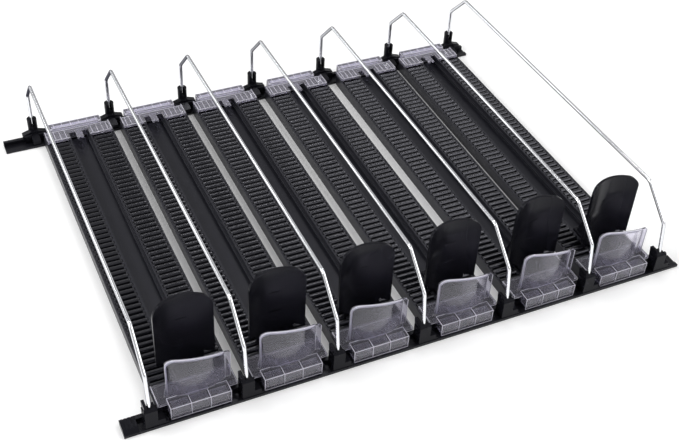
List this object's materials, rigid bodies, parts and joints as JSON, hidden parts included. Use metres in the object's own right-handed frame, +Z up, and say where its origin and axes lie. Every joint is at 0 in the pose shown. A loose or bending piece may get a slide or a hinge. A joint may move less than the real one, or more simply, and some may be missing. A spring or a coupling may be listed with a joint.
{
  "type": "can organizer",
  "caption": "Flat shelf organizer for drink cans: roller tracks side by side on two black rails, bent wire dividers, clear curved front stops and sprung sliding pushers",
  "frame": {"origin": "centre of the footprint, on the surface that the organizer lies on", "axes": "X along the rails, left to right seen from the front; -Y the front, where cans are taken; Z up"},
  "size_m": [0.4976, 0.383, 0.082],
  "materials": {
    "black_satin": "black moulded plastic, satin",
    "black_gloss": "black moulded plastic, glossy",
    "clear_plastic": "clear moulded plastic with a faint lilac tint",
    "chrome_wire": "bright chrome-plated round wire",
    "spring_steel": "thin rolled spring steel band"
  },
  "bodies": {
    "shelf": {"front_rail": "black_satin", "back_rail": "black_satin", "end_plug": "black_gloss", "track_1": "black_satin", "track_2": "black_satin", "track_3": "black_satin", "track_4": "black_satin", "track_5": "black_satin", "track_6": "black_satin", "rollers_1": "black_gloss", "rollers_2": "black_gloss", "rollers_3": "black_gloss", "rollers_4": "black_gloss", "rollers_5": "black_gloss", "rollers_6": "black_gloss", "stop_1": "clear_plastic", "stop_2": "clear_plastic", "stop_3": "clear_plastic", "stop_4": "clear_plastic", "stop_5": "clear_plastic", "stop_6": "clear_plastic", "cap_1": "clear_plastic", "cap_2": "clear_plastic", "cap_3": "clear_plastic", "cap_4": "clear_plastic", "cap_5": "clear_plastic", "cap_6": "clear_plastic", "divider_1": "chrome_wire", "divider_2": "chrome_wire", "divider_3": "chrome_wire", "divider_4": "chrome_wire", "divider_5": "chrome_wire", "divider_6": "chrome_wire", "divider_7": "chrome_wire", "holder_1": "black_gloss", "holder_2": "black_gloss", "holder_3": "black_gloss", "holder_4": "black_gloss", "holder_5": "black_gloss", "holder_6": "black_gloss", "holder_7": "black_gloss", "foot_1": "black_gloss", "foot_2": "black_gloss", "foot_3": "black_gloss", "foot_4": "black_gloss", "foot_5": "black_gloss", "foot_6": "black_gloss", "foot_7": "black_gloss", "spring_1": "spring_steel", "spring_2": "spring_steel", "spring_3": "spring_steel", "spring_4": "spring_steel", "spring_5": "spring_steel", "spring_6": "spring_steel"},
    "pusher_body_1": {"pusher_1": "black_gloss"},
    "pusher_body_2": {"pusher_2": "black_gloss"},
    "pusher_body_3": {"pusher_3": "black_gloss"},
    "pusher_body_4": {"pusher_4": "black_gloss"},
    "pusher_body_5": {"pusher_5": "black_gloss"},
    "pusher_body_6": {"pusher_6": "black_gloss"}
  },
  "joints": [
    {"name": "pusher_1_slide", "type": "slide", "parent": "shelf", "child": "pusher_body_1", "axis": [0, 1, 0], "range_m": [0, 0.28], "stiffness_N_per_m": 2, "springref_m": -1, "deforming": ["spring_1"]},
    {"name": "pusher_2_slide", "type": "slide", "parent": "shelf", "child": "pusher_body_2", "axis": [0, 1, 0], "range_m": [0, 0.28], "stiffness_N_per_m": 2, "springref_m": -1, "deforming": ["spring_2"]},
    {"name": "pusher_3_slide", "type": "slide", "parent": "shelf", "child": "pusher_body_3", "axis": [0, 1, 0], "range_m": [0, 0.28], "stiffness_N_per_m": 2, "springref_m": -1, "deforming": ["spring_3"]},
    {"name": "pusher_4_slide", "type": "slide", "parent": "shelf", "child": "pusher_body_4", "axis": [0, 1, 0], "range_m": [0, 0.28], "stiffness_N_per_m": 2, "springref_m": -1, "deforming": ["spring_4"]},
    {"name": "pusher_5_slide", "type": "slide", "parent": "shelf", "child": "pusher_body_5", "axis": [0, 1, 0], "range_m": [0, 0.28], "stiffness_N_per_m": 2, "springref_m": -1, "deforming": ["spring_5"]},
    {"name": "pusher_6_slide", "type": "slide", "parent": "shelf", "child": "pusher_body_6", "axis": [0, 1, 0], "range_m": [0, 0.28], "stiffness_N_per_m": 2, "springref_m": -1, "deforming": ["spring_6"]}
  ]
}
